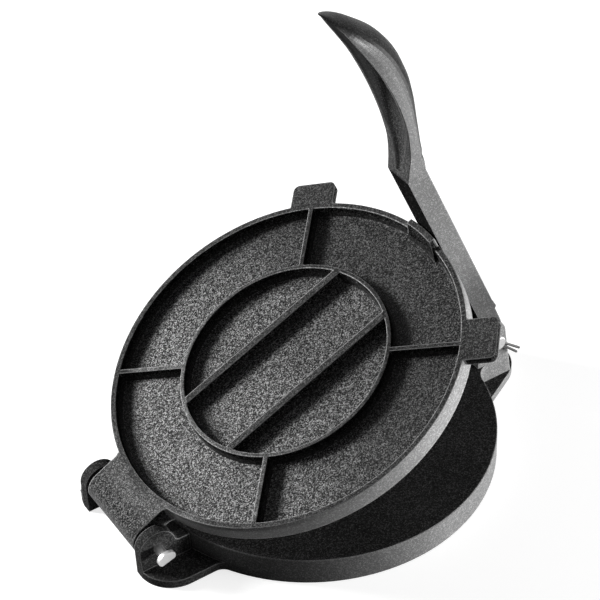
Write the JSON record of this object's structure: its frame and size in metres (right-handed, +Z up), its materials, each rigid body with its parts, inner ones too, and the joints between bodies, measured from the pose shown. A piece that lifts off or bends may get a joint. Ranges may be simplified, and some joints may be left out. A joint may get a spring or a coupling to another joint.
{
  "type": "tortilla press",
  "caption": "Cast-iron tortilla press: a round base, a ribbed lid on a rear hinge and a folding lever with a spoon-shaped grip on the opposite side.",
  "frame": {"origin": "middle of the base's outline, hinge flange to lever flange, on its foot plane, where it stands on the table; the disc's own centre is 3 mm towards the hinge", "axes": "+X from the hinge towards the lever, +Y along the hinge pin, +Z up"},
  "size_m": [0.2551, 0.2, 0.2698],
  "materials": {
    "cast_iron_base": "seasoned, sandy",
    "cast_iron_lid": "seasoned, sandy",
    "cast_iron_lever": "seasoned, sandy",
    "pin_steel": "bright zinc-plated",
    "wire_steel": "drawn wire"
  },
  "bodies": {
    "base": {"base": "cast_iron_base", "hinge_pin": "pin_steel", "hinge_split_pin": "wire_steel", "lever_pin": "pin_steel", "lever_split_pin": "wire_steel"},
    "lid": {"lid": "cast_iron_lid"},
    "lever": {"lever": "cast_iron_lever"}
  },
  "joints": [
    {"name": "lid_hinge", "type": "hinge", "parent": "base", "child": "lid", "pos_m": [-0.1172, 0, 0.0168], "axis": [0, -1, 0], "range_deg": [-23.6, 90]},
    {"name": "lever_pivot", "type": "hinge", "parent": "base", "child": "lever", "pos_m": [0.1066, 0, 0.0345], "axis": [0, 1, 0], "range_deg": [0, 112]}
  ]
}
